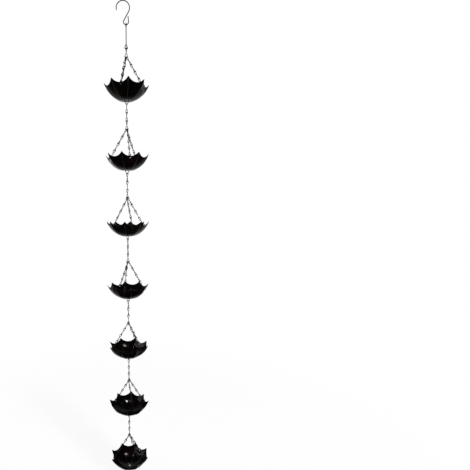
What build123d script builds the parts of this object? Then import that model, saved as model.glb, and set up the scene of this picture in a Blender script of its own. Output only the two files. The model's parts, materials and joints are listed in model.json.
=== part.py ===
"""Rain chain of seven upside-down umbrella cups, hung on jack chain from an S-hook.

Millimetres, +Z up, origin on the seat of the S-hook. The hook lies in the XZ plane and opens towards -X.
Wire is drawn with flat faces, so that the hundred links of the chain stay light.
"""

import os
from math import acos, asin, atan2, cos, degrees, hypot, pi, radians, sin, sqrt, tan

from build123d import *

# Driving dimensions of the cups
CUP_DIAMETER = 165.0
CUP_DEPTH = 57.0
CUP_SHEET = 1.0
CUP_BOTTOM = 36.0
PANEL_COUNT = 8
RIM_BAND = 26.0
LOWER_BANDS = 3
SCALLOP_DEPTH = 14.5
SCALLOP_FACETS = 3
TIP_FLAT = 1.6
DRAIN_HOLE = 7.0

# Driving dimensions of the jack links, jump rings and bails
LINK_WIRE = 1.8
LINK_LENGTH = 34.0
EYE_WIDTH = 9.6
EYE_CORNER = 1.5
APEX_EYE_WIDTH = 14.6
HANGER_LINKS = 4
HANGER_SPACING = 3.5
HANGER_TWIST = 38.0
HANGER_PANELS = (0, 3, 5)
DROP_LINKS = 3
RING_BORE = 9.0
RING_HOLE = 4.4
RING_BRIDGE = 4.2
BAIL_WIRE = 2.0
BAIL_DROP = 12.0
BAIL_SPREAD = 18.0
BAIL_CROWN = 5.0
BAIL_FOOT = 4.5
BAIL_HOLE = 4.4

# Driving dimensions of the long link and the S-hook
LONG_WIRE = 2.6
LONG_LENGTH = 85.5
LONG_EYE_LENGTH = 17.0
LONG_EYE_WIDTH = 12.4
LONG_AZIMUTH = 105.0
HOOK_WIRE = 3.0
HOOK_UPPER_RADIUS = 24.4
HOOK_LOWER_RADIUS = 9.4
HOOK_SIDESTEP = 10.8
HOOK_RISE = 45.6
HOOK_TIP = 4.0
HOOK_LEG = 17.0
HOOK_JOIN_FACETS = 4
HOOK_END_FACETS = 3

# Play between wires that hook into each other, and between a ring and the sheet it goes round
PLAY = 0.2
RING_PLAY = 0.4

# How far each cup is turned about the chain: the azimuth of its first hanger chain, from +X
CUP_TURNS = (120.0, 57.0, 153.0, 125.0, 185.0, 154.0, 185.0)


def hooked(upper_wire, lower_wire):
    """Distance between the middle lines of two square wires that hook together and swing freely."""
    return max(upper_wire * sqrt(2) + lower_wire, upper_wire + lower_wire * sqrt(2)) / 2 + PLAY


def wrapped(angle):
    """The same eye direction between -90 and 90 degrees."""
    return (angle + 90) % 180 - 90


# Sizes that follow for the cup
panel_half = pi / PANEL_COUNT
hanger_azimuths = [degrees(2 * panel_half * panel) for panel in HANGER_PANELS]
rim_radius = CUP_DIAMETER / 2
bottom_radius = CUP_BOTTOM / 2
arc_height = (rim_radius**2 + CUP_DEPTH**2 - bottom_radius**2) / (2 * CUP_DEPTH)
arc_radius = hypot(bottom_radius, arc_height)
bottom_angle = asin(bottom_radius / arc_radius)
band_angle = acos((arc_height - CUP_DEPTH + RIM_BAND) / arc_radius)
rib_angles = [bottom_angle + (band_angle - bottom_angle) * n / LOWER_BANDS for n in range(LOWER_BANDS + 1)]
rib_line = [(arc_radius * sin(a), arc_height - CUP_DEPTH - arc_radius * cos(a)) for a in rib_angles]
rib_line.append((rim_radius, 0.0))
panel_line = [(radius * cos(panel_half), height) for radius, height in rib_line]

# The wall of the rim band in the middle of a panel, where the jump rings go
wall_run = panel_line[-1][0] - panel_line[-2][0]
wall_slope = atan2(wall_run, RIM_BAND)
wall_up = Vector(sin(wall_slope), 0, cos(wall_slope))
wall_out = Vector(cos(wall_slope), 0, -sin(wall_slope))
scallop_edge = Vector(panel_line[-1][0] - SCALLOP_DEPTH * tan(wall_slope), 0, -SCALLOP_DEPTH)
wall_edge = scallop_edge - wall_out * (CUP_SHEET / 2)

# The jump ring stands through the hole and over the scallop's edge
ring_middle = (RING_BORE + LINK_WIRE) / 2
ring_standoff = RING_BORE / 2 - CUP_SHEET / 2 - RING_PLAY
hole_below_edge = RING_BRIDGE + RING_HOLE / 2
hole_centre = wall_edge - wall_up * hole_below_edge
ring_side = tan(pi / 6) * (2 * ring_middle - ring_standoff)
ring_centre = hole_centre + wall_up * ring_side - wall_out * ring_standoff
ring_corner = wall_up * sin(pi / 6) - wall_out * cos(pi / 6)

# The hanger chains: their length sets the height of the apex over the rim points
link_step = hooked(LINK_WIRE, LINK_WIRE)
crown_span = LINK_LENGTH - LINK_WIRE
hanger_length = HANGER_LINKS * crown_span - (HANGER_LINKS + 1) * link_step
ring_seat = RING_BORE / 2 / cos(pi / 6) - LINK_WIRE / 2 * (1 + tan(pi / 6)) - PLAY
hanger_end = ring_centre + ring_corner * (ring_seat + link_step)
apex_height = hanger_end.Z + sqrt(hanger_length**2 - hanger_end.X**2)

# The S-hook: two arcs joined by their inner tangent, drawn in facets of equal angle.
# Half a facet lies on either side of the seat and of the crown, so that both are flat.
arc_gap = hypot(HOOK_SIDESTEP, HOOK_RISE)
join_angle = atan2(-HOOK_RISE, HOOK_SIDESTEP) + acos((HOOK_UPPER_RADIUS + HOOK_LOWER_RADIUS) / arc_gap)
hook_facet = (pi / 2 - join_angle) / (HOOK_JOIN_FACETS + 0.5)
hook_top = HOOK_UPPER_RADIUS * cos(hook_facet / 2) - HOOK_WIRE / 2
upper_centre = Vector(0, 0, -hook_top)
lower_centre = upper_centre + Vector(HOOK_SIDESTEP, 0, -HOOK_RISE)
hook_crown = lower_centre.Z - HOOK_LOWER_RADIUS * cos(hook_facet / 2)

# Levels down the chain, all on one plumb line
chain_x = lower_centre.X
long_top = hook_crown + hooked(HOOK_WIRE, LONG_WIRE)
long_middle = long_top - (LONG_LENGTH - LONG_WIRE) / 2
long_crown = long_top - (LONG_LENGTH - LONG_WIRE)
top_link_top = long_crown + hooked(LONG_WIRE, LINK_WIRE)
top_link_middle = top_link_top - crown_span / 2
first_cup = top_link_top - crown_span - apex_height
bail_crown = -CUP_DEPTH - BAIL_DROP
bail_step = hooked(BAIL_WIRE, LINK_WIRE)
drop_length = DROP_LINKS * (crown_span - link_step) + link_step - bail_step
cup_pitch = drop_length - bail_crown + apex_height
cup_levels = [first_cup - cup_pitch * n for n in range(len(CUP_TURNS))]


def eye_points(width, length, wire):
    """Outline and hole of a wire eye that rises from a square neck at the origin."""
    neck = wire / 2
    half = width / 2
    lean = atan2(half - neck, length - EYE_CORNER)
    outline = [
        (-neck, 0),
        (-half, length - EYE_CORNER),
        (EYE_CORNER - half, length),
        (half - EYE_CORNER, length),
        (half, length - EYE_CORNER),
        (neck, 0),
    ]
    hole_top = length - wire
    hole_half = neck + hole_top * tan(lean) - wire / cos(lean)
    hole = [(0, (wire / cos(lean) - neck) / tan(lean)), (hole_half, hole_top), (-hole_half, hole_top)]
    return outline, hole


def add_eye(plane, width, length, wire):
    """Adds one eye to the part being built, in the given plane and along its y direction."""
    outline, hole = eye_points(width, length, wire)
    with BuildSketch(plane) as eye:
        with BuildLine():
            Polyline(*outline, close=True)
        make_face()
        with BuildLine():
            Polyline(*hole, close=True)
        make_face(mode=Mode.SUBTRACT)
    extrude(eye.sketch, amount=wire / 2, both=True)


def save(builder, name):
    """Labels a finished piece and writes it as its own file."""
    builder.part.label = name
    export_step(builder.part, f"parts/{name}.step")


def upper_eye(neck):
    """Plane of an eye that spans X and rises from a neck at the given height."""
    return Plane(origin=(0, 0, neck), x_dir=(1, 0, 0), z_dir=(0, -1, 0))


def lower_eye(neck):
    """Plane of an eye that spans Y and hangs from a neck at the given height."""
    return Plane(origin=(0, 0, neck), x_dir=(0, 1, 0), z_dir=(-1, 0, 0))


# Jack link: one wire bent into two eyes at right angles
with BuildPart() as jack_link:
    add_eye(upper_eye(0), EYE_WIDTH, LINK_LENGTH / 2, LINK_WIRE)
    add_eye(lower_eye(0), EYE_WIDTH, LINK_LENGTH / 2, LINK_WIRE)

# Apex link: a jack link whose lower eye is spread for three hanger chains
with BuildPart() as apex_link:
    add_eye(upper_eye(0), EYE_WIDTH, LINK_LENGTH / 2, LINK_WIRE)
    add_eye(lower_eye(0), APEX_EYE_WIDTH, LINK_LENGTH / 2, LINK_WIRE)

# Long link: a straight shank between two eyes at right angles
shank_half = LONG_LENGTH / 2 - LONG_EYE_LENGTH
with BuildPart() as long_link:
    Box(LONG_WIRE, LONG_WIRE, 2 * shank_half)
    add_eye(upper_eye(shank_half), LONG_EYE_WIDTH, LONG_EYE_LENGTH, LONG_WIRE)
    add_eye(lower_eye(-shank_half), LONG_EYE_WIDTH, LONG_EYE_LENGTH, LONG_WIRE)

# S-hook: eight-sided wire along two faceted arcs, a straight tip and a straight leg
hook_points = range(HOOK_END_FACETS + HOOK_JOIN_FACETS + 2)
upper_angles = [pi / 2 + hook_facet * (HOOK_END_FACETS + 0.5 - n) for n in hook_points]
lower_angles = [join_angle + pi + hook_facet * n for n in hook_points]
upper_arc = [upper_centre + Vector(cos(a), 0, sin(a)) * HOOK_UPPER_RADIUS for a in upper_angles]
lower_arc = [lower_centre + Vector(cos(a), 0, sin(a)) * HOOK_LOWER_RADIUS for a in lower_angles]
tip_way = Vector(-sin(upper_angles[0]), 0, cos(upper_angles[0]))
leg_way = Vector(-sin(lower_angles[-1]), 0, cos(lower_angles[-1]))
hook_line = [upper_arc[0] + tip_way * HOOK_TIP, *upper_arc, *lower_arc, lower_arc[-1] + leg_way * HOOK_LEG]
with BuildPart() as s_hook:
    with BuildLine() as hook_path:
        Polyline(*hook_line)
    with BuildSketch(Plane(origin=hook_line[0], x_dir=(0, 1, 0), z_dir=hook_line[1] - hook_line[0])):
        RegularPolygon(HOOK_WIRE / 2, 8, major_radius=False, rotation=22.5)
    sweep(path=hook_path.line, transition=Transition.RIGHT)

# Cup body: the panels' middle line drawn out along each pair of opposite panels, and their common solid
cup_profile = [*panel_line, *[(-radius, height) for radius, height in reversed(panel_line)]]
with BuildPart() as cup:
    for pair in range(PANEL_COUNT // 2):
        turn = Plane.XZ.rotated((0, 0, degrees(2 * panel_half * pair)))
        with BuildSketch(turn):
            with BuildLine():
                Polyline(*cup_profile, close=True)
            make_face()
        extrude(amount=CUP_DIAMETER, both=True, mode=Mode.ADD if pair == 0 else Mode.INTERSECT)
    offset(amount=-CUP_SHEET, openings=cup.faces().sort_by(Axis.Z)[-1], kind=Kind.INTERSECTION)
    # One scallop in the rim of every panel, an arc of a few facets from point to point
    scallop_half = rim_radius * sin(panel_half) - TIP_FLAT / 2
    scallop_radius = (scallop_half**2 + SCALLOP_DEPTH**2) / (2 * SCALLOP_DEPTH)
    scallop_sweep = asin(scallop_half / scallop_radius)
    scallop_angles = [scallop_sweep * (2 * n / SCALLOP_FACETS - 1) for n in range(SCALLOP_FACETS + 1)]
    lowest = max(cos(a) for a in scallop_angles)
    scallop_rise = SCALLOP_DEPTH / (lowest - cos(scallop_sweep))
    scallop_line = [
        (scallop_radius * sin(a), scallop_rise * (lowest - cos(a)) - SCALLOP_DEPTH) for a in scallop_angles
    ]
    above_rim = [(scallop_half, SCALLOP_DEPTH), (-scallop_half, SCALLOP_DEPTH)]
    for panel in range(PANEL_COUNT):
        facing = Plane.YZ.rotated((0, 0, degrees(2 * panel_half * panel)))
        with BuildSketch(facing):
            with BuildLine():
                Polyline(*scallop_line, *above_rim, close=True)
            make_face()
        extrude(amount=CUP_DIAMETER, mode=Mode.SUBTRACT)
    # Holes for the jump rings, square to the wall
    for azimuth in hanger_azimuths:
        here, up, out = [way.rotate(Axis.Z, azimuth) for way in (hole_centre, wall_up, wall_out)]
        with BuildSketch(Plane(origin=here, x_dir=up, z_dir=out)):
            RegularPolygon(RING_HOLE / 2, 6, major_radius=False)
        extrude(amount=2 * CUP_SHEET, both=True, mode=Mode.SUBTRACT)
    # Two holes for the bail and a drain in the bottom
    with BuildSketch(Plane.XY.offset(-CUP_DEPTH)):
        RegularPolygon(DRAIN_HOLE / 2, 6, major_radius=False)
        with Locations((0, BAIL_SPREAD / 2), (0, -BAIL_SPREAD / 2)):
            RegularPolygon(BAIL_HOLE / 2, 6, major_radius=False)
    extrude(amount=2 * CUP_SHEET, both=True, mode=Mode.SUBTRACT)

# Bail: a V of wire whose feet rest on the inside of the cup's bottom
foot_level = CUP_SHEET - CUP_DEPTH
leg_lean = atan2(BAIL_SPREAD / 2 - BAIL_CROWN / 2, BAIL_DROP)
leg_width = BAIL_WIRE / cos(leg_lean)
bail_inner = BAIL_SPREAD / 2 - leg_width / 2
bail_outer = BAIL_SPREAD / 2 + leg_width / 2
crown_inner = bail_inner + (bail_crown + BAIL_WIRE / 2 + CUP_DEPTH) * tan(leg_lean)
crown_outer = bail_outer + (bail_crown - BAIL_WIRE / 2 + CUP_DEPTH) * tan(leg_lean)
foot_inner = bail_inner + (CUP_SHEET + BAIL_WIRE) * tan(leg_lean)
foot_start = bail_outer + CUP_SHEET * tan(leg_lean)
bail_side = [
    (crown_inner, bail_crown + BAIL_WIRE / 2),
    (foot_inner, foot_level + BAIL_WIRE),
    (foot_start + BAIL_FOOT, foot_level + BAIL_WIRE),
    (foot_start + BAIL_FOOT, foot_level),
    (foot_start, foot_level),
    (crown_outer, bail_crown - BAIL_WIRE / 2),
]
with BuildPart() as bail:
    with BuildSketch(Plane.YZ):
        with BuildLine():
            Polyline(*bail_side, *[(-y, z) for y, z in reversed(bail_side)], close=True)
        make_face()
    extrude(amount=BAIL_WIRE / 2, both=True)

# Jump ring: six-sided, standing upright in the plane of its hanger chain
with BuildPart() as jump_ring:
    with BuildSketch(Plane(origin=ring_centre, x_dir=wall_out, z_dir=(0, -1, 0))):
        RegularPolygon(RING_BORE / 2 + LINK_WIRE, 6, major_radius=False, rotation=30)
        RegularPolygon(RING_BORE / 2, 6, major_radius=False, rotation=30, mode=Mode.SUBTRACT)
    extrude(amount=LINK_WIRE / 2, both=True)


def hanger_chain(number):
    """One hanger chain in the cup's frame: its jack links from the apex to the rim, and its jump ring."""
    azimuth = hanger_azimuths[number]
    side = round(sin(radians(azimuth)), 6)
    way_along = (side > 0) - (side < 0)
    start = Vector(0, way_along * HANGER_SPACING, apex_height)
    end = hanger_end.rotate(Axis.Z, azimuth)
    way = (end - start).normalized()
    step = (HANGER_LINKS * crown_span - (end - start).length) / (HANGER_LINKS + 1)
    level_side = Vector(0, 0, 1).cross(way).normalized()
    radial = way.cross(level_side)
    with BuildPart() as chain:
        for link in range(HANGER_LINKS):
            middle = start + way * (crown_span / 2 - step + link * (crown_span - step))
            share = 1 - link / (HANGER_LINKS - 1)
            twist = radians(HANGER_TWIST * way_along * share)
            across = radial * cos(twist) + level_side * sin(twist)
            with Locations(Plane(origin=middle, x_dir=across, z_dir=-way).location):
                add(jack_link.part)
        add(jump_ring.part.rotate(Axis.Z, azimuth))
    return chain


os.makedirs("parts", exist_ok=True)
save(s_hook, "s_hook")

with BuildPart() as placed_long_link:
    with Locations(Location((chain_x, 0, long_middle), (0, 0, LONG_AZIMUTH))):
        add(long_link.part)
save(placed_long_link, "long_link")

with BuildPart() as placed_top_link:
    with Locations(Location((chain_x, 0, top_link_middle), (0, 0, CUP_TURNS[0]))):
        add(apex_link.part)
save(placed_top_link, "top_link")

# The cups, each with its bail and its three hanger chains
hangers = [hanger_chain(number) for number in range(len(HANGER_PANELS))]
for index, (level, turn) in enumerate(zip(cup_levels, CUP_TURNS), start=1):
    place = Location((chain_x, 0, level), (0, 0, turn))
    with BuildPart() as placed_cup:
        with Locations(place):
            add(cup.part)
    save(placed_cup, f"cup_{index}")
    with BuildPart() as placed_bail:
        with Locations(place):
            add(bail.part)
    save(placed_bail, f"bail_{index}")
    for number, hanger in enumerate(hangers, start=1):
        with BuildPart() as placed_hanger:
            with Locations(place):
                add(hanger.part)
        save(placed_hanger, f"hanger_chain_{index}_{number}")

# The links between one cup and the next, turned step by step from the bail's direction to the apex's
for index in range(len(CUP_TURNS) - 1):
    top = cup_levels[index] + bail_crown + bail_step
    total_turn = wrapped(CUP_TURNS[index + 1] - CUP_TURNS[index])
    for link in range(DROP_LINKS):
        middle = top - crown_span / 2 - link * (crown_span - link_step)
        turn = CUP_TURNS[index] + total_turn * (link + 1) / DROP_LINKS
        with BuildPart() as placed_link:
            with Locations(Location((chain_x, 0, middle), (0, 0, turn))):
                add(apex_link.part if link == DROP_LINKS - 1 else jack_link.part)
        save(placed_link, f"drop_link_{index + 1}_{link + 1}")
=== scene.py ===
"""Looks of a rain chain: black enamelled umbrella cups on round-wire jack chain under an S-hook.

Metres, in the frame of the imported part: +Z up, origin on the seat of the S-hook. Every solid of the
frame gets a finely made piece of the same form, placed by the solid's own corners, which rides on the
same body.
"""

from __future__ import annotations

import json
import logging
from dataclasses import dataclass, field
from enum import Enum
from math import acos, asin, atan2, ceil, cos, degrees, hypot, pi, radians, sin, sqrt, tan
from typing import Any, Mapping, Sequence, Union

import bmesh
import bpy
import numpy as np
from mathutils import Matrix, Vector

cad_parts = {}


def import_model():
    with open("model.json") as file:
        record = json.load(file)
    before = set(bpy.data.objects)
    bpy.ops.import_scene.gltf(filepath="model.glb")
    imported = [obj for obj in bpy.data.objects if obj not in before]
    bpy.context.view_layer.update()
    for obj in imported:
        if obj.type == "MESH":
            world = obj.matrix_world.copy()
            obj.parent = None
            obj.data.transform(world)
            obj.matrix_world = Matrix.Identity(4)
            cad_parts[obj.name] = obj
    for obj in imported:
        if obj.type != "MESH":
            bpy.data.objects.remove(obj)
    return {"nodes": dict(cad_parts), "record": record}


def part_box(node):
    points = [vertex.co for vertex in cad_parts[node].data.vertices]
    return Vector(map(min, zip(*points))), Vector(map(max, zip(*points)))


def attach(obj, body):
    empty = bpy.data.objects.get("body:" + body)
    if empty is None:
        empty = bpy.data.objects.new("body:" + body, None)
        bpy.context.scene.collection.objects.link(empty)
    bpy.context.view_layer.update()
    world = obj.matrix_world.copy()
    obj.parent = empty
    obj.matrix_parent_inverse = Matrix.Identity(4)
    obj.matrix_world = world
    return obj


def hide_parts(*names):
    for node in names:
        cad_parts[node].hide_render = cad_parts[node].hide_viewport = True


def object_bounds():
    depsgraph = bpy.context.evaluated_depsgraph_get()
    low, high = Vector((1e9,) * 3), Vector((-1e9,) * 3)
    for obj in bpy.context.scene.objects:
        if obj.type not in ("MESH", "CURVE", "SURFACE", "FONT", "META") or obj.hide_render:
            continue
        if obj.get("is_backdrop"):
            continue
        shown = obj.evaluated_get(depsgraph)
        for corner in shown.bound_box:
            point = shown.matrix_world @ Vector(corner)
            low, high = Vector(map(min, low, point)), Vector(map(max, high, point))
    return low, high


LOG = logging.getLogger("rain_chain")

# A slanting direction that settles the sense of a line
SENSE = Vector((0.83, 0.52, 0.21))

# The colour sockets of a Mix node go by number, because its sockets share their names
MIX_FIRST = 6
MIX_SECOND = 7
MIX_RESULT = 2

# Bent wire: the turn of one facet, its domed end in wire radii, and the turn at which it is rubbed most
BEND_FACET = radians(14)
DOME_RISE = 0.4
DOME_REACH = 0.62
FULL_WEAR_BEND = radians(12)

Number = Union[int, float]
Colour = tuple[float, float, float, float]
Span = tuple[float, float]


class Value:
    """A socket's value in a node graph, with the operators that shader maths needs."""

    def __init__(self, graph: Graph, socket: bpy.types.NodeSocket) -> None:
        """Wraps an output socket of a graph."""
        self.graph = graph
        self.socket = socket

    def _math(self, operation: str, first: Operand, second: Operand) -> Value:
        """Adds one Math node.

        Args:
            operation: The node's operation.
            first: The first operand.
            second: The second operand.

        Returns:
            The node's value.
        """
        return self.graph.value("ShaderNodeMath", {"operation": operation}, {0: first, 1: second})

    def __add__(self, other: Operand) -> Value:
        """This value plus another."""
        return self._math("ADD", self, other)

    def __radd__(self, other: Operand) -> Value:
        """Another value plus this one."""
        return self._math("ADD", other, self)

    def __sub__(self, other: Operand) -> Value:
        """This value less another."""
        return self._math("SUBTRACT", self, other)

    def __rsub__(self, other: Operand) -> Value:
        """Another value less this one."""
        return self._math("SUBTRACT", other, self)

    def __mul__(self, other: Operand) -> Value:
        """This value times another."""
        return self._math("MULTIPLY", self, other)

    def __rmul__(self, other: Operand) -> Value:
        """Another value times this one."""
        return self._math("MULTIPLY", other, self)

    def at_least(self, other: Operand) -> Value:
        """The larger of this value and another."""
        return self._math("MAXIMUM", self, other)

    def between(self, low: float, high: float) -> Value:
        """How far this value lies from low to high, eased and held from 0 to 1.

        Args:
            low: The value that gives 0.
            high: The value that gives 1.

        Returns:
            The eased share.
        """
        settings = {"interpolation_type": "SMOOTHSTEP"}
        sockets = {"Value": self, "From Min": low, "From Max": high}
        return self.graph.value("ShaderNodeMapRange", settings, sockets, "Result")


Operand = Union[Value, Number]


class Graph:
    """The node graph of one material or of the world."""

    def __init__(self, tree: bpy.types.NodeTree) -> None:
        """Starts an empty graph on a tree."""
        self.tree = tree
        tree.nodes.clear()

    def node(self, kind: str, settings: Mapping[str, Any], sockets: Mapping[Any, Any]) -> bpy.types.Node:
        """Makes any node.

        Args:
            kind: The node's type.
            settings: The node's own settings, which are set first.
            sockets: A value or a link for each named or numbered input.

        Returns:
            The new node.
        """
        made = self.tree.nodes.new(kind)
        for name, setting in settings.items():
            setattr(made, name, setting)
        for name, given in sockets.items():
            if isinstance(given, Value):
                self.tree.links.new(given.socket, made.inputs[name])
            else:
                made.inputs[name].default_value = given
        return made

    def value(
        self,
        kind: str,
        settings: Mapping[str, Any],
        sockets: Mapping[Any, Any],
        output: Union[int, str] = 0,
    ) -> Value:
        """Makes any node and gives one of its outputs.

        Args:
            kind: The node's type.
            settings: The node's own settings.
            sockets: A value or a link for each input.
            output: The output's name or number.

        Returns:
            The output's value.
        """
        return Value(self, self.node(kind, settings, sockets).outputs[output])

    def mixed(self, share: Operand, first: Union[Value, Colour], second: Union[Value, Colour]) -> Value:
        """Mixes two colours.

        Args:
            share: How much of the second colour there is.
            first: The first colour.
            second: The second colour.

        Returns:
            The mixed colour.
        """
        sockets = {"Factor": share, MIX_FIRST: first, MIX_SECOND: second}
        return self.value("ShaderNodeMix", {"data_type": "RGBA"}, sockets, MIX_RESULT)

    def noise(self, place: Value, scale: float, detail: float) -> Value:
        """A soft noise from 0 to 1.

        Args:
            place: The coordinates.
            scale: How many waves a metre holds.
            detail: How many finer layers are added.

        Returns:
            The noise.
        """
        sockets = {"Vector": place, "Scale": scale, "Detail": detail}
        return self.value("ShaderNodeTexNoise", {}, sockets, "Fac")


@dataclass(frozen=True)
class Pattern:
    """A noise between two levels, whose fineness is measured against its enamel's mottling."""

    fineness: float
    detail: float
    levels: Span

    def on(self, graph: Graph, place: Value, mottling: float) -> Value:
        """The pattern at a place, from 0 to 1.

        Args:
            graph: The graph that it is added to.
            place: The coordinates.
            mottling: How many waves of the enamel's mottling a metre holds.

        Returns:
            The pattern's share.
        """
        return graph.noise(place, self.fineness * mottling, self.detail).between(*self.levels)


@dataclass(frozen=True)
class Enamel:
    """Black stoving enamel on steel, with faint mottling in a warm tint that paints a reflection, orange
    peel, and paler creases that are worn and carry a painted highlight.
    """

    name: str
    slot: str
    deep: Colour
    # The warm tint is a painted reflection of warm surroundings, spread by the mottling
    warm_reflection: Colour
    # Paler colour: a painted highlight on the cups' rib ridges, and wear on edges, round holes and at
    # wire bends
    worn_and_highlight: Colour
    smooth: float
    rough: float
    mottling: float
    peel: float
    peel_height: float
    specular: float
    cloud: Pattern = Pattern(1.0, 4.0, (0.38, 0.72))
    streak: Pattern = Pattern(6.0, 3.0, (0.35, 0.75))
    speck: Pattern = Pattern(90.0, 1.0, (0.66, 0.74))
    warm_reflection_share: float = 0.75
    least_rub: float = 0.35
    rough_cloud_share: float = 0.6
    rough_rub: float = 0.12
    rough_speck: float = 0.05
    peel_detail: float = 2.0
    streak_height: float = 0.25
    speck_height: float = 0.12
    bump_strength: float = 0.35

    def material(self) -> bpy.types.Material:
        """Makes the material.

        Returns:
            The node material of this enamel.
        """
        made = bpy.data.materials.new(self.name)
        made.use_nodes = True
        graph = Graph(made.node_tree)
        place = graph.value("ShaderNodeTexCoord", {}, {}, "Object")
        cloud = self.cloud.on(graph, place, self.mottling)
        streak = self.streak.on(graph, place, self.mottling)
        speck = self.speck.on(graph, place, self.mottling)
        # The paler mark is a painted highlight along the cups' rib ridges, with wear there and elsewhere
        wear_and_highlight = graph.value("ShaderNodeAttribute", {"attribute_name": "wear_and_highlight"}, {}, "Fac")
        rubbed_and_highlight = wear_and_highlight * (self.least_rub + (1 - self.least_rub) * streak)
        # Painted reflection: the mottling mixes a warm tint into the black
        coat_and_reflection = graph.mixed(self.warm_reflection_share * cloud, self.deep, self.warm_reflection)
        colour = graph.mixed(rubbed_and_highlight, coat_and_reflection, self.worn_and_highlight)
        uneven = self.rough_cloud_share * cloud + (1 - self.rough_cloud_share) * streak
        dull = self.rough_rub * rubbed_and_highlight + self.rough_speck * speck
        roughness = self.smooth + (self.rough - self.smooth) * uneven + dull
        fine = graph.noise(place, self.peel, self.peel_detail)
        height = fine + self.streak_height * streak + self.speck_height * speck
        sockets = {"Strength": self.bump_strength, "Distance": self.peel_height, "Height": height}
        bump = graph.value("ShaderNodeBump", {}, sockets, "Normal")
        surface = graph.value(
            "ShaderNodeBsdfPrincipled",
            {},
            {
                "Base Color": colour,
                "Roughness": roughness,
                "Specular IOR Level": self.specular,
                "Normal": bump,
            },
        )
        graph.node("ShaderNodeOutputMaterial", {}, {"Surface": surface})
        return made


class Finish(Enum):
    """The finishes of the chain's pieces."""

    CUP = Enamel(
        name="cup_enamel",
        slot="cup_enamel",
        deep=(0.0011, 0.0010, 0.0010, 1.0),
        # A dark red tint: a painted reflection of warm surroundings
        warm_reflection=(0.0064, 0.0018, 0.0018, 1.0),
        # Paler grey: a painted highlight on the rib ridges, with wear on the edges
        worn_and_highlight=(0.026, 0.024, 0.023, 1.0),
        smooth=0.09,
        rough=0.19,
        mottling=22.0,
        peel=900.0,
        peel_height=0.00008,
        specular=0.11,
    )
    WIRE = Enamel(
        name="wire_enamel",
        slot="wire_enamel",
        deep=(0.0015, 0.0015, 0.0016, 1.0),
        warm_reflection=(0.0040, 0.0036, 0.0036, 1.0),
        worn_and_highlight=(0.024, 0.023, 0.022, 1.0),
        smooth=0.32,
        rough=0.48,
        mottling=60.0,
        peel=1400.0,
        peel_height=0.00006,
        specular=0.10,
    )


class Shape:
    """The points, faces and paleness of one piece while it is made: wear, and a painted highlight along
    the cups' ribs.
    """

    def __init__(self) -> None:
        """Starts an empty shape."""
        self.points: list[Vector] = []
        self.faces: list[tuple[int, ...]] = []
        self.wear_and_highlight: list[float] = []

    def add(self, other: Shape, place: Matrix) -> None:
        """Adds a placed copy of another shape.

        Args:
            other: The shape to copy.
            place: Where the copy goes.
        """
        first = len(self.points)
        self.points += [place @ point for point in other.points]
        self.faces += [tuple(first + corner for corner in face) for face in other.faces]
        self.wear_and_highlight += other.wear_and_highlight

    def mesh(self, name: str) -> bpy.types.Mesh:
        """Makes the mesh, with its wear and painted rib highlight as an attribute.

        Args:
            name: The mesh's name.

        Returns:
            The new mesh.
        """
        made = bpy.data.meshes.new(name)
        made.from_pydata([tuple(point) for point in self.points], [], self.faces)
        rubbed_and_highlight = made.attributes.new("wear_and_highlight", "FLOAT", "POINT")
        rubbed_and_highlight.data.foreach_set("value", self.wear_and_highlight)
        return made


def smooth_piece(name: str, mesh: bpy.types.Mesh, crease: float) -> bpy.types.Object:
    """Makes a smooth-shaded object with sharp edges past an angle.

    Args:
        name: The object's name.
        mesh: Its mesh.
        crease: The angle in degrees from which an edge is sharp.

    Returns:
        The new object, in the scene.
    """
    mesh.shade_smooth()
    mesh.set_sharp_from_angle(angle=radians(crease))
    made = bpy.data.objects.new(name, mesh)
    bpy.context.scene.collection.objects.link(made)
    return made


def rounded(corners: Sequence[Vector], bends: Sequence[float]) -> list[Vector]:
    """A wire's route through corners, each bent to its own radius.

    Args:
        corners: The corners, with both ends.
        bends: The radius of each bend between the ends.

    Returns:
        The route's points.
    """
    route = [corners[0]]
    for before, corner, after, bend in zip(corners, corners[1:], corners[2:], bends):
        way_in = (corner - before).normalized()
        way_out = (after - corner).normalized()
        turn = way_in.angle(way_out)
        start = corner - way_in * bend * tan(turn / 2)
        axis = way_in.cross(way_out).normalized()
        middle = start + axis.cross(way_in) * bend
        steps = max(2, ceil(turn / BEND_FACET))
        for step in range(steps + 1):
            route.append(middle + Matrix.Rotation(turn * step / steps, 3, axis) @ (start - middle))
    route.append(corners[-1])
    return route


def tube(route: Sequence[Vector], radius: float, wear_and_highlight: float, sides: int = 12) -> Shape:
    """Round wire along a route, with domed ends.

    Args:
        route: The wire's middle line.
        radius: The wire's radius.
        wear_and_highlight: How rubbed the wire is where it bends most.
        sides: How many sides the round has.

    Returns:
        The wire's shape.
    """
    made = Shape()
    count = len(route)
    ways = []
    for index in range(count):
        before = route[max(index - 1, 0)]
        after = route[min(index + 1, count - 1)]
        ways.append((after - before).normalized())
    across = ways[0].orthogonal().normalized()
    rings = []
    for point, way in zip(route, ways):
        across = (across - way * across.dot(way)).normalized()
        rings.append((point, way, across, radius))
    for end, outwards in ((0, -1), (-1, 1)):
        point, way, side, _ = rings[end]
        dome = (point + way * outwards * radius * DOME_RISE, way, side, radius * DOME_REACH)
        rings = [dome, *rings] if outwards < 0 else [*rings, dome]
    for index, (point, way, side, reach) in enumerate(rings):
        bent = ways[min(index, count - 1)].angle(ways[min(index + 1, count - 1)])
        for step in range(sides):
            around = Matrix.Rotation(2 * pi * step / sides, 3, way) @ side
            made.points.append(point + around * reach)
            made.wear_and_highlight.append(wear_and_highlight * min(1.0, bent / FULL_WEAR_BEND))
    last = len(rings) - 1
    for ring in range(last):
        upper = ring * sides
        lower = upper + sides
        for step in range(sides):
            beside = (step + 1) % sides
            made.faces.append((upper + step, upper + beside, lower + beside, lower + step))
    made.faces.append(tuple(reversed(range(sides))))
    made.faces.append(tuple(range(last * sides, last * sides + sides)))
    return made


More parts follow.
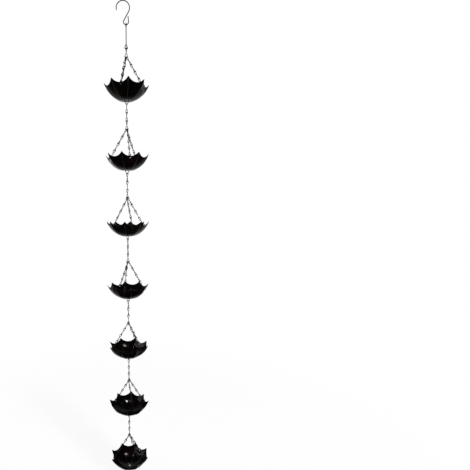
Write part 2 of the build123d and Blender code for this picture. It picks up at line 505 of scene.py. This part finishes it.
def one_sense(way: Vector) -> Vector:
    """The same line's direction in the sense that lies nearer a fixed slanting direction.

    Args:
        way: A direction whose sense is open.

    Returns:
        The direction, or its opposite.
    """
    return way if way.dot(SENSE) >= 0 else -way


class Solid:
    """One separate solid of a frame node, as its corner points."""

    def __init__(self, corners: np.ndarray) -> None:
        """Holds the corners, one in each row."""
        self.corners = corners

    @staticmethod
    def all_of(node: bpy.types.Object) -> list[Solid]:
        """Finds the separate solids of a node.

        Args:
            node: The frame node.

        Returns:
            Its solids.
        """
        weld = 1e-6
        work = bmesh.new()
        work.from_mesh(node.data)
        bmesh.ops.remove_doubles(work, verts=work.verts, dist=weld)
        work.verts.index_update()
        seen: set[int] = set()
        found = []
        for start in work.verts:
            if start.index in seen:
                continue
            seen.add(start.index)
            reached = [start]
            for corner in reached:
                for edge in corner.link_edges:
                    beside = edge.other_vert(corner)
                    if beside.index not in seen:
                        seen.add(beside.index)
                        reached.append(beside)
            found.append(Solid(np.array([corner.co[:] for corner in reached])))
        work.free()
        return found

    def reach(self) -> float:
        """The longest side of the solid's upright box."""
        return float(np.ptp(self.corners, axis=0).max())

    def axes(self) -> tuple[Vector, Vector, Vector]:
        """The solid's own directions, from its longest spread to its shortest."""
        spread = self.corners - self.corners.mean(axis=0)
        _, _, ways = np.linalg.svd(spread, full_matrices=False)
        return tuple(one_sense(Vector(way)) for way in ways)

    def middle(self) -> Vector:
        """The middle of the solid's corners."""
        return Vector(self.corners.mean(axis=0))

    def link_place(self) -> Matrix:
        """Where a link of two eyes lies.

        Returns:
            A matrix with the link's middle, its length along Z and its upper eye along X.
        """
        along = self.axes()[0]
        if along.z < 0:
            along = -along
        crown_from = 0.6
        spread = self.corners - self.corners.mean(axis=0)
        heights = spread @ np.array(along)
        crown = spread[heights > crown_from * heights.max()]
        flat = crown - np.outer(crown @ np.array(along), np.array(along))
        _, _, ways = np.linalg.svd(flat - flat.mean(axis=0), full_matrices=False)
        across = one_sense(Vector(ways[0]))
        across = (across - along * across.dot(along)).normalized()
        middle = self.middle() + along * float((heights.max() + heights.min()) / 2)
        return placed_matrix(middle, across, along)


def placed_matrix(middle: Vector, across: Vector, along: Vector) -> Matrix:
    """A matrix from a place and two directions.

    Args:
        middle: Where the origin goes.
        across: Where X points.
        along: Where Z points.

    Returns:
        The matrix.
    """
    turned = Matrix((across, along.cross(across), along)).transposed()
    return Matrix.Translation(middle) @ turned.to_4x4()


@dataclass
class WireLink:
    """A link of round wire bent into two eyes at right angles, with its ends beside the necks."""

    wire: float = 0.00225
    span: float = 0.0322
    upper_half: float = 0.0043
    lower_half: float = 0.0043
    bend: float = 0.0022
    shank: float = 0.0
    rubbed_and_highlight: float = 0.5
    end_in_wires: float = 0.7
    neck_bend_in_wires: float = 3.0

    def shape(self) -> Shape:
        """Bends the wire.

        Returns:
            The link, upright at the origin, with its upper eye along X.
        """
        crown = self.span / 2
        beside = self.end_in_wires * self.wire
        neck_bend = self.neck_bend_in_wires * self.wire
        neck = self.shank / 2
        end = neck + self.wire
        corners = [
            Vector((-beside, 0, end)),
            Vector((-self.upper_half, 0, crown)),
            Vector((self.upper_half, 0, crown)),
            Vector((0, 0, neck)),
            Vector((0, 0, -neck)),
            Vector((0, -self.lower_half, -crown)),
            Vector((0, self.lower_half, -crown)),
            Vector((0, beside, -end)),
        ]
        bends = [self.bend, self.bend, neck_bend, neck_bend, self.bend, self.bend]
        # Without a shank the two necks are one corner
        if self.shank == 0:
            del corners[4]
            del bends[3]
        return tube(rounded(corners, bends), self.wire / 2, self.rubbed_and_highlight)


@dataclass
class JumpRing:
    """A round wire ring with its ends nearly closed."""

    wire: float = 0.00225
    middle_radius: float = 0.0059
    gap: float = 0.0004
    dome_in_wires: float = 0.8
    steps: int = 32
    rubbed_and_highlight: float = 0.4

    def shape(self) -> Shape:
        """Bends the ring.

        Returns:
            The ring about Z at the origin, with its gap towards -X.
        """
        opening = (self.gap + self.dome_in_wires * self.wire) / self.middle_radius
        start = -pi + opening / 2
        sweep = 2 * pi - opening
        angles = [start + sweep * step / self.steps for step in range(self.steps + 1)]
        route = [Vector((cos(angle), sin(angle), 0)) * self.middle_radius for angle in angles]
        return tube(route, self.wire / 2, self.rubbed_and_highlight)


@dataclass
class Bail:
    """A V of round wire through the bottom of a cup, its feet bent outwards on the inside."""

    wire: float = 0.0024
    drop: float = 0.012
    spread: float = 0.018
    crown: float = 0.005
    foot: float = 0.0048
    cup_depth: float = 0.057
    cup_sheet: float = 0.001
    knee_bend_in_wires: float = 0.7
    rubbed_and_highlight: float = 0.4

    def shape(self) -> Shape:
        """Bends the bail.

        Returns:
            The bail in the XZ plane, below a cup whose points lie at the origin's height.
        """
        foot_level = self.cup_sheet + self.wire / 2 - self.cup_depth
        crown_level = -self.cup_depth - self.drop
        lean = (self.spread - self.crown) / 2 / self.drop
        knee = self.spread / 2 + (foot_level + self.cup_depth) * lean
        half = [(knee + self.foot, foot_level), (knee, foot_level), (self.crown / 2, crown_level)]
        corners = [Vector((x, 0, z)) for x, z in half] + [Vector((-x, 0, z)) for x, z in reversed(half)]
        knee_bend = self.knee_bend_in_wires * self.wire
        bends = [knee_bend, self.wire, self.wire, knee_bend]
        return tube(rounded(corners, bends), self.wire / 2, self.rubbed_and_highlight)


@dataclass
class SHook:
    """An S of thick wire: a wide upper bend, a small lower bend and a straight leg."""

    wire: float = 0.0032
    upper_radius: float = 0.02371
    lower_radius: float = 0.00913
    sidestep: float = 0.0108
    rise: float = 0.0456
    tip: float = 0.004
    leg: float = 0.017
    tip_angle: float = radians(185.6)
    leg_angle: float = radians(365.5)
    seat_wire: float = 0.003
    facet: float = radians(7)
    sides: int = 16
    rubbed_and_highlight: float = 0.25

    def arc(self, middle: Vector, radius: float, start: float, end: float) -> list[Vector]:
        """Points along one bend in the XZ plane.

        Args:
            middle: The bend's middle.
            radius: Its radius.
            start: Its first angle.
            end: Its last angle.

        Returns:
            The points.
        """
        steps = ceil(abs(end - start) / self.facet)
        angles = [start + (end - start) * step / steps for step in range(steps + 1)]
        return [middle + Vector((cos(angle), 0, sin(angle))) * radius for angle in angles]

    def shape(self) -> Shape:
        """Bends the hook.

        Returns:
            The hook in the frame of the part, its seat at the origin.
        """
        upper = Vector((0, 0, self.seat_wire / 2 - self.upper_radius))
        lower = upper + Vector((self.sidestep, 0, -self.rise))
        gap = hypot(self.sidestep, self.rise)
        join = atan2(-self.rise, self.sidestep) + acos((self.upper_radius + self.lower_radius) / gap)
        upper_arc = self.arc(upper, self.upper_radius, self.tip_angle, join)
        lower_arc = self.arc(lower, self.lower_radius, join + pi, self.leg_angle)
        tip_way = Vector((-sin(self.tip_angle), 0, cos(self.tip_angle)))
        leg_way = Vector((-sin(self.leg_angle), 0, cos(self.leg_angle)))
        tip_end = upper_arc[0] + tip_way * self.tip
        leg_end = lower_arc[-1] + leg_way * self.leg
        route = [tip_end, *upper_arc, *lower_arc, leg_end]
        return tube(route, self.wire / 2, self.rubbed_and_highlight, self.sides)


@dataclass
class Cup:
    """An upside-down umbrella of pressed sheet: ribbed panels, a scalloped rim, holes for the wire."""

    diameter: float = 0.165
    depth: float = 0.057
    bottom: float = 0.036
    sheet: float = 0.001
    panels: int = 8
    rim_band: float = 0.026
    scallop_depth: float = 0.0145
    tip_flat: float = 0.0016
    ring_hole: float = 0.0050
    hole_below_edge: float = 0.0064
    drain_hole: float = 0.007
    bail_hole: float = 0.0044
    bail_spread: float = 0.018
    bead_width: float = 0.0016
    bead_height: float = 0.0005
    floor_strip: float = 0.0016
    bead_start: float = radians(8)
    rim_lines: tuple[float, ...] = (0.0, 0.0007, 0.0017)
    rib_lines: tuple[float, ...] = (0.0024, 0.0016, 0.0011, 0.0006)
    panel_lines: int = 6
    wall_lines: int = 15
    hole_cell: float = 0.00155
    hole_cells: int = 2
    floor_hole_sides: int = 24
    roundness: float = 0.7
    flat_until: float = 0.023
    round_from: float = 0.036
    edge_tries: int = 30
    # The lines by each rib are paler: a painted highlight on the ridge, with wear
    highlight_rib_lines: int = 2
    rib_highlight_and_wear: float = 1.0
    edge_wear: float = 0.55

    def __post_init__(self) -> None:
        """Works out the rib's arc, the rim band's chord and the scallop's arc."""
        self.half = pi / self.panels
        rim, base = self.diameter / 2, self.bottom / 2
        arc_height = (rim**2 + self.depth**2 - base**2) / (2 * self.depth)
        self.arc_radius = hypot(base, arc_height)
        self.arc_level = arc_height - self.depth
        self.bottom_angle = asin(base / self.arc_radius)
        self.rim_angle = acos(self.arc_level / self.arc_radius)
        self.band_angle = acos((self.arc_level + self.rim_band) / self.arc_radius)
        self.scallop_half = rim * sin(self.half) - self.tip_flat / 2
        self.scallop_radius = (self.scallop_half**2 + self.scallop_depth**2) / (2 * self.scallop_depth)

    def scallop(self, across: float) -> float:
        """The rim's height at a distance from the middle of a panel."""
        held = min(abs(across), self.scallop_half)
        return self.scallop_radius - sqrt(self.scallop_radius**2 - held**2) - self.scallop_depth

    def columns(self, angle: float) -> list[float]:
        """The lines across half a panel at one height, from its middle to its rib.

        Args:
            angle: The height, as an angle along the rib's arc.

        Returns:
            Distances from the panel's middle.
        """
        rib = self.arc_radius * sin(angle) * sin(self.half)
        cells = [self.hole_cell * step for step in range(self.hole_cells + 1)]
        inner = cells[-1]
        outer = rib - self.rib_lines[0]
        shares = [line / self.panel_lines for line in range(1, self.panel_lines)]
        between = [inner + (outer - inner) * share for share in shares]
        return [*cells, *between, *[rib - line for line in self.rib_lines], rib]

    def edge_angle(self, column: int) -> float:
        """How far up the rib's arc the rim lies on one line of a panel.

        Args:
            column: The line's number from the panel's middle.

        Returns:
            The angle along the arc.
        """
        angle = self.rim_angle
        for _ in range(self.edge_tries):
            height = self.scallop(self.columns(angle)[column])
            angle = acos((self.arc_level - height) / self.arc_radius)
        return angle

    def skin(self, angle: float, across: float, holed: bool) -> Vector:
        """A point of the outer skin, in the frame of its panel.

        Args:
            angle: How far up the rib's arc it lies.
            across: Its distance from the panel's middle.
            holed: Whether the panel stays flat about a jump ring.

        Returns:
            The point, with X outwards.
        """
        radius = self.arc_radius * sin(angle)
        height = self.arc_level - self.arc_radius * cos(angle)
        rib = radius * sin(self.half)
        share = across / rib
        out = radius * cos(self.half)
        swollen = 1.0
        if holed:
            fall = min(1.0, max(0.0, (-height - self.flat_until) / (self.round_from - self.flat_until)))
            swollen = fall * fall * (3 - 2 * fall)
        out += swollen * self.roundness * (radius - out) * (1 - share**2)
        if holed and angle > self.band_angle:
            low = self.arc_radius * sin(self.band_angle)
            chord = low + (self.diameter / 2 - low) * (height + self.rim_band) / self.rim_band
            out -= (radius - chord) * cos(self.half) * (1 - share**2)
        point = Vector((out, across, height))
        from_rib = rib - abs(across)
        if from_rib < self.bead_width:
            fade = min(1.0, (angle - self.bottom_angle) / self.bead_start)
            swell = self.bead_height * fade * (1 + cos(pi * from_rib / self.bead_width)) / 2
            side = self.half if across > 0 else -self.half
            point += Vector((sin(angle) * cos(side), sin(angle) * sin(side), -cos(angle))) * swell
        return point

    def rows(self) -> list[float]:
        """Distances below the rim of the lines that follow it."""
        steps = range(-self.hole_cells, self.hole_cells + 1)
        return [*self.rim_lines, *[self.hole_below_edge + self.hole_cell * step for step in steps]]

    def shape(self, holed: Sequence[int]) -> Shape:
        """Lays out the outer skin, with a round hole in each holed panel.

        Args:
            holed: The numbers of the panels with a hole for a jump ring.

        Returns:
            The open skin, its points at height 0 and panel 0 towards +X.
        """
        made = Shape()
        rows = self.rows()
        middle_row = len(self.rim_lines) + self.hole_cells
        cells = self.hole_cells
        half_count = len(self.columns(self.rim_angle))
        edges = [self.edge_angle(column) for column in range(half_count)]
        lines = [*range(1 - half_count, half_count - 1)]
        ring = [(panel, line) for panel in range(self.panels) for line in lines]
        row_count = len(rows) + self.wall_lines + 1
        numbers: dict[tuple[int, int], int] = {}
        for order, (panel, line) in enumerate(ring):
            turn = Matrix.Rotation(2 * self.half * panel, 3, "Z")
            edge = edges[abs(line)]
            for row in range(row_count):
                hole_row = row - middle_row
                if panel in holed and max(abs(line), abs(hole_row)) < cells:
                    continue
                low = edge - rows[-1] / self.arc_radius
                if row < len(rows):
                    angle = edge - rows[row] / self.arc_radius
                else:
                    step = min(row - len(rows) + 1, self.wall_lines)
                    angle = low + (self.bottom_angle - low) * step / self.wall_lines
                across = self.columns(angle)[abs(line)] * (1 if line > 0 else -1)
                near_hole = panel in holed and max(abs(line), abs(hole_row)) <= cells
                if near_hole:
                    around = atan2(hole_row, line)
                    across = self.ring_hole / 2 * cos(around)
                    below = self.hole_below_edge + self.ring_hole / 2 * sin(around)
                    angle = edge - below / self.arc_radius
                point = self.skin(angle, across, panel in holed)
                if row == row_count - 1:
                    point *= 1 - self.floor_strip / (self.bottom / 2)
                    point.z = -self.depth
                numbers[order, row] = len(made.points)
                made.points.append(turn @ point)
                # Paler marks: wear on the rim edge and round the holes, and a painted highlight with
                # wear along the ribs
                wear_and_highlight = self.edge_wear if row == 0 or near_hole else 0.0
                on_rib = abs(line) >= half_count - self.highlight_rib_lines
                made.wear_and_highlight.append(self.rib_highlight_and_wear if on_rib else wear_and_highlight)
        for order, (panel, line) in enumerate(ring):
            beside = (order + 1) % len(ring)
            for row in range(row_count - 1):
                corners = [(order, row), (order, row + 1), (beside, row + 1), (beside, row)]
                in_hole = -cells <= line < cells and -cells <= row - middle_row < cells
                if not (in_hole and panel in holed):
                    made.faces.append(tuple(numbers[corner] for corner in corners))
        self.floor_ring = [numbers[order, row_count - 1] for order in range(len(ring))]
        return made

    def floor_holes(self) -> list[tuple[Vector, float]]:
        """The middle and radius of each hole in the bottom."""
        level = -self.depth
        side = self.bail_spread / 2
        holes = [(Vector((0, 0, level)), self.drain_hole / 2)]
        return holes + [(Vector((0, way * side, level)), self.bail_hole / 2) for way in (1, -1)]

    def mesh(self, name: str, holed: Sequence[int]) -> bpy.types.Mesh:
        """Closes the bottom round its holes and gives the skin its thickness.

        Args:
            name: The mesh's name.
            holed: The numbers of the panels with a hole for a jump ring.

        Returns:
            The cup's mesh, its points at height 0.
        """
        skin = self.shape(holed).mesh(name + "_skin")
        work = bmesh.new()
        work.from_mesh(skin)
        work.verts.ensure_lookup_table()
        loops = [[work.verts[number] for number in self.floor_ring]]
        for middle, radius in self.floor_holes():
            steps = range(self.floor_hole_sides)
            angles = [2 * pi * step / self.floor_hole_sides for step in steps]
            ways = [Vector((cos(angle), sin(angle), 0)) for angle in angles]
            loops.append([work.verts.new(middle + way * radius) for way in ways])
        sides = []
        for loop in loops:
            for corner, beside in zip(loop, loop[1:] + loop[:1]):
                sides.append(work.edges.get((corner, beside)) or work.edges.new((corner, beside)))
        bmesh.ops.triangle_fill(work, edges=sides, use_beauty=True, normal=(0, 0, -1))
        work.to_mesh(skin)
        work.free()
        carrier = bpy.data.objects.new(name + "_skin", skin)
        bpy.context.scene.collection.objects.link(carrier)
        thick = carrier.modifiers.new("sheet", "SOLIDIFY")
        thick.thickness = self.sheet
        thick.offset = -1.0
        thick.use_even_offset = True
        thickened = carrier.evaluated_get(bpy.context.evaluated_depsgraph_get())
        made = bpy.data.meshes.new_from_object(thickened)
        made.name = name
        bpy.data.objects.remove(carrier)
        return made


@dataclass
class RainChain:
    """The whole chain, piece by piece, on the bodies of the frame."""

    nodes: Mapping[str, bpy.types.Object]
    records: Mapping[str, Any]
    jack_link: WireLink = field(default_factory=WireLink)
    apex_link: WireLink = field(default_factory=lambda: WireLink(lower_half=0.0073))
    long_link: WireLink = field(
        default_factory=lambda: WireLink(
            wire=0.0032,
            span=0.0829,
            upper_half=0.00575,
            lower_half=0.00575,
            bend=0.0028,
            shank=0.0515,
            rubbed_and_highlight=0.3,
        )
    )
    ring: JumpRing = field(default_factory=JumpRing)
    bail: Bail = field(default_factory=Bail)
    hook: SHook = field(default_factory=SHook)
    cup: Cup = field(default_factory=Cup)
    hangers: tuple[int, ...] = (1, 2, 3)
    wire_crease: float = 60.0
    cup_crease: float = 34.0

    def __post_init__(self) -> None:
        """Makes the materials and notes the body of every node."""
        self.materials = {finish: finish.value.material() for finish in Finish}
        bodies = self.records["behaviour"]["bodies"]
        self.body_of = {node: body for body, members in bodies.items() for node in members}
        self.axis_x = self.joint_place("long_link_swing").x

    def joint_place(self, name: str) -> Vector:
        """The place of one joint of the frame."""
        joints = self.records["behaviour"]["joints"]
        return Vector(next(joint["pos_m"] for joint in joints if joint["name"] == name))

    def dress(self, piece: bpy.types.Object, node: str, finish: Finish) -> None:
        """Gives a piece its finish and its body, and hides the node that it stands for.

        Args:
            piece: The piece.
            node: The node of the frame.
            finish: The piece's finish.
        """
        piece.data.materials.clear()
        piece.data.materials.append(self.materials[finish])
        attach(piece, self.body_of[node])
        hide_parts(node)
        LOG.info("%s stands for %s on %s", piece.name, node, self.body_of[node])

    def add_wire(self, node: str, shape: Shape) -> None:
        """Adds one wire piece.

        Args:
            node: The node that it stands for.
            shape: Its shape, in place.
        """
        name = "wire_" + node
        self.dress(smooth_piece(name, shape.mesh(name), self.wire_crease), node, Finish.WIRE)

    def build_hook(self) -> None:
        """Adds the S-hook."""
        self.add_wire("s_hook", self.hook.shape())

    def build_link(self, node: str, link: WireLink) -> None:
        """Adds one link where its solid lies.

        Args:
            node: The node of the frame.
            link: The kind of link.
        """
        placed = Shape()
        placed.add(link.shape(), Solid.all_of(self.nodes[node])[0].link_place())
        self.add_wire(node, placed)

    def build_hanger(self, node: str) -> None:
        """Adds one hanger chain: its links and its jump ring.

        Args:
            node: The node of the frame.
        """
        placed = Shape()
        for solid in Solid.all_of(self.nodes[node]):
            if solid.reach() > self.jack_link.span / 2:
                placed.add(self.jack_link.shape(), solid.link_place())
            else:
                placed.add(self.ring.shape(), self.ring_place(solid))
        self.add_wire(node, placed)

    def ring_place(self, solid: Solid) -> Matrix:
        """Where a jump ring lies, with its gap away from the chain's plumb line.

        Args:
            solid: The ring's solid.

        Returns:
            The ring's matrix.
        """
        middle = solid.middle()
        inwards = Vector((self.axis_x - middle.x, -middle.y, 0)).normalized()
        flat = solid.axes()[2]
        down_out = (-inwards - Vector((0, 0, 1))).normalized()
        across = (down_out - flat * down_out.dot(flat)).normalized()
        return placed_matrix(middle, -across, flat)

    def build_cup(self, number: int) -> None:
        """Adds one cup, turned as its solid is and holed where its jump rings go.

        Args:
            number: The cup's number from the top.
        """
        node = f"cup_{number}"
        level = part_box(node)[1].z
        middle = Vector((self.axis_x, 0, level))
        azimuths = []
        for chain in self.hangers:
            solids = Solid.all_of(self.nodes[f"hanger_chain_{number}_{chain}"])
            ring = min(solids, key=lambda solid: solid.reach()).middle() - middle
            azimuths.append(atan2(ring.y, ring.x))
        step = 2 * self.cup.half
        holed = [round((azimuth - azimuths[0]) / step) % self.cup.panels for azimuth in azimuths]
        name = f"enamel_{node}"
        mesh = self.cup.mesh(name, holed)
        mesh.transform(Matrix.Translation(middle) @ Matrix.Rotation(azimuths[0], 4, "Z"))
        self.dress(smooth_piece(name, mesh, self.cup_crease), node, Finish.CUP)
        LOG.info("%s turned %.1f degrees, holes in panels %s", name, degrees(azimuths[0]), holed)
        placed = Shape()
        turn = Matrix.Rotation(azimuths[0] + pi / 2, 4, "Z")
        placed.add(self.bail.shape(), Matrix.Translation(middle) @ turn)
        self.add_wire(f"bail_{number}", placed)

    def build(self) -> None:
        """Builds every piece from the top down."""
        self.build_hook()
        self.build_link("long_link", self.long_link)
        self.build_link("top_link", self.apex_link)
        cups = sum(node.startswith("cup_") for node in self.nodes)
        for number in range(1, cups + 1):
            self.build_cup(number)
            for chain in self.hangers:
                self.build_hanger(f"hanger_chain_{number}_{chain}")
            drops = sorted(node for node in self.nodes if node.startswith(f"drop_link_{number}_"))
            for node in drops:
                self.build_link(node, self.apex_link if node == drops[-1] else self.jack_link)


@dataclass
class Softbox:
    """One large soft lamp."""

    name: str
    place: tuple[float, float, float]
    aim: tuple[float, float, float]
    width: float
    height: float
    watts: float

    def build(self) -> None:
        """Adds the lamp."""
        lamp = bpy.data.lights.new(self.name, "AREA")
        lamp.shape = "RECTANGLE"
        lamp.size = self.width
        lamp.size_y = self.height
        lamp.energy = self.watts
        made = bpy.data.objects.new(self.name, lamp)
        bpy.context.scene.collection.objects.link(made)
        made.location = self.place
        made.rotation_mode = "QUATERNION"
        made.rotation_quaternion = (Vector(self.aim) - Vector(self.place)).to_track_quat("-Z", "Y")


@dataclass
class Studio:
    """A white studio with a pale floor, soft lamps and a camera at the photograph's place.

    The room is dark in front of the chain, but only in the mirror of the enamel.
    """

    axis_x: float
    rim_level: float
    lowest: float
    photo_side: float = 470.0
    focal_pixels: float = 361.2
    centre_column: float = 146.7
    centre_row: float = 277.3
    camera_offset: tuple[float, float, float] = (0.074, -1.421, -0.483)
    camera_pitch: float = radians(9.34)
    sensor: float = 36.0
    nearest: float = 0.01
    lamp_aim_level: float = -0.9
    floor_gap: float = 0.04
    floor_size: float = 12.0
    white: Colour = (1.0, 1.0, 1.0, 1.0)
    floor_colour: Colour = (0.82, 0.82, 0.81, 1.0)
    room_light: float = 0.5
    floor_glow: float = 0.9
    dark_room: float = 0.03
    backdrop_span: Span = (0.35, 1.1)
    fade_span: Span = (0.7, 2.0)

    def build_floor(self) -> None:
        """Adds the floor, which keeps a soft shadow and fades to white away from the chain."""
        half = self.floor_size / 2
        level = self.lowest - self.floor_gap
        mesh = bpy.data.meshes.new("floor")
        corners = [(-half, -half), (half, -half), (half, half), (-half, half)]
        mesh.from_pydata([(x, y, 0.0) for x, y in corners], [], [(0, 1, 2, 3)])
        finish = bpy.data.materials.new("floor_paint")
        finish.use_nodes = True
        graph = Graph(finish.node_tree)
        paint = graph.value("ShaderNodeBsdfDiffuse", {}, {"Color": self.floor_colour})
        glow = graph.value("ShaderNodeEmission", {}, {"Color": self.white, "Strength": 1.0})
        rays = graph.node("ShaderNodeLightPath", {}, {})
        place = graph.value("ShaderNodeTexCoord", {}, {}, "Object")
        reach = graph.value("ShaderNodeVectorMath", {"operation": "LENGTH"}, {0: place}, "Value")
        far = reach.between(*self.fade_span)
        seen = Value(graph, rays.outputs["Is Camera Ray"])
        share = (self.floor_glow + (1 - self.floor_glow) * far) * seen
        mixed = graph.value("ShaderNodeMixShader", {}, {0: share, 1: paint, 2: glow})
        graph.node("ShaderNodeOutputMaterial", {}, {"Surface": mixed})
        mesh.materials.append(finish)
        floor = bpy.data.objects.new("floor", mesh)
        floor.location = (self.axis_x, 0.0, level)
        floor.visible_glossy = False
        bpy.context.scene.collection.objects.link(floor)
        floor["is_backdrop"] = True

    def build_world(self) -> None:
        """Makes the room white to the eye, even as a light, and dark in front to a mirror."""
        world = bpy.data.worlds.new("white_studio")
        world.use_nodes = True
        graph = Graph(world.node_tree)
        ways = graph.value("ShaderNodeTexCoord", {}, {}, "Generated")
        depth = graph.value("ShaderNodeSeparateXYZ", {}, {"Vector": ways}, "Y")
        behind = depth.between(*self.backdrop_span)
        mirrored = self.dark_room + (1 - self.dark_room) * behind
        even, back, plain = [
            graph.value("ShaderNodeBackground", {}, {"Color": self.white, "Strength": strength})
            for strength in (self.room_light, mirrored, 1.0)
        ]
        rays = graph.node("ShaderNodeLightPath", {}, {})
        glossy = Value(graph, rays.outputs["Is Glossy Ray"])
        through = Value(graph, rays.outputs["Is Transmission Ray"])
        clear = Value(graph, rays.outputs["Is Camera Ray"]).at_least(through)
        lit = graph.value("ShaderNodeMixShader", {}, {0: glossy, 1: even, 2: back})
        mixed = graph.value("ShaderNodeMixShader", {}, {0: clear, 1: lit, 2: plain})
        graph.node("ShaderNodeOutputWorld", {}, {"Surface": mixed})
        bpy.context.scene.world = world

    def build_lamps(self) -> None:
        """Adds the soft lamps."""
        aim = (self.axis_x, 0.0, self.lamp_aim_level)
        window = Softbox(
            name="ceiling_window_lamp",
            place=(1.25, -1.53, 2.46),
            aim=aim,
            width=0.30,
            height=0.90,
            watts=130.0,
        )
        fill = Softbox(
            name="left_fill_lamp",
            place=(-2.6, -0.6, -0.4),
            aim=aim,
            width=1.2,
            height=2.0,
            watts=24.0,
        )
        window.build()
        fill.build()

    def build_camera(self) -> None:
        """Adds the camera, with the photograph's focal length, place and framing."""
        data = bpy.data.cameras.new("photo_camera")
        data.sensor_width = self.sensor
        data.lens = self.sensor * self.focal_pixels / self.photo_side
        data.shift_x = (self.photo_side / 2 - self.centre_column) / self.photo_side
        data.shift_y = (self.centre_row - self.photo_side / 2) / self.photo_side
        data.clip_start = self.nearest
        camera = bpy.data.objects.new("photo_camera", data)
        bpy.context.scene.collection.objects.link(camera)
        camera.location = Vector((self.axis_x, 0, self.rim_level)) + Vector(self.camera_offset)
        camera.rotation_euler = (pi / 2 - self.camera_pitch, 0, 0)
        bpy.context.scene.camera = camera

    def build(self) -> None:
        """Builds the whole studio."""
        self.build_floor()
        self.build_world()
        self.build_lamps()
        self.build_camera()
        bpy.context.scene.view_settings.view_transform = "Standard"


def main() -> None:
    """Loads the frame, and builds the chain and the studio."""
    logging.basicConfig(level=logging.INFO, format="%(name)s: %(message)s")
    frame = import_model()
    solid_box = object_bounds()
    chain = RainChain(frame["nodes"], frame["record"])
    chain.build()
    Studio(chain.axis_x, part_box("cup_1")[1].z, solid_box[0].z).build()


if __name__ == "__main__":
    main()
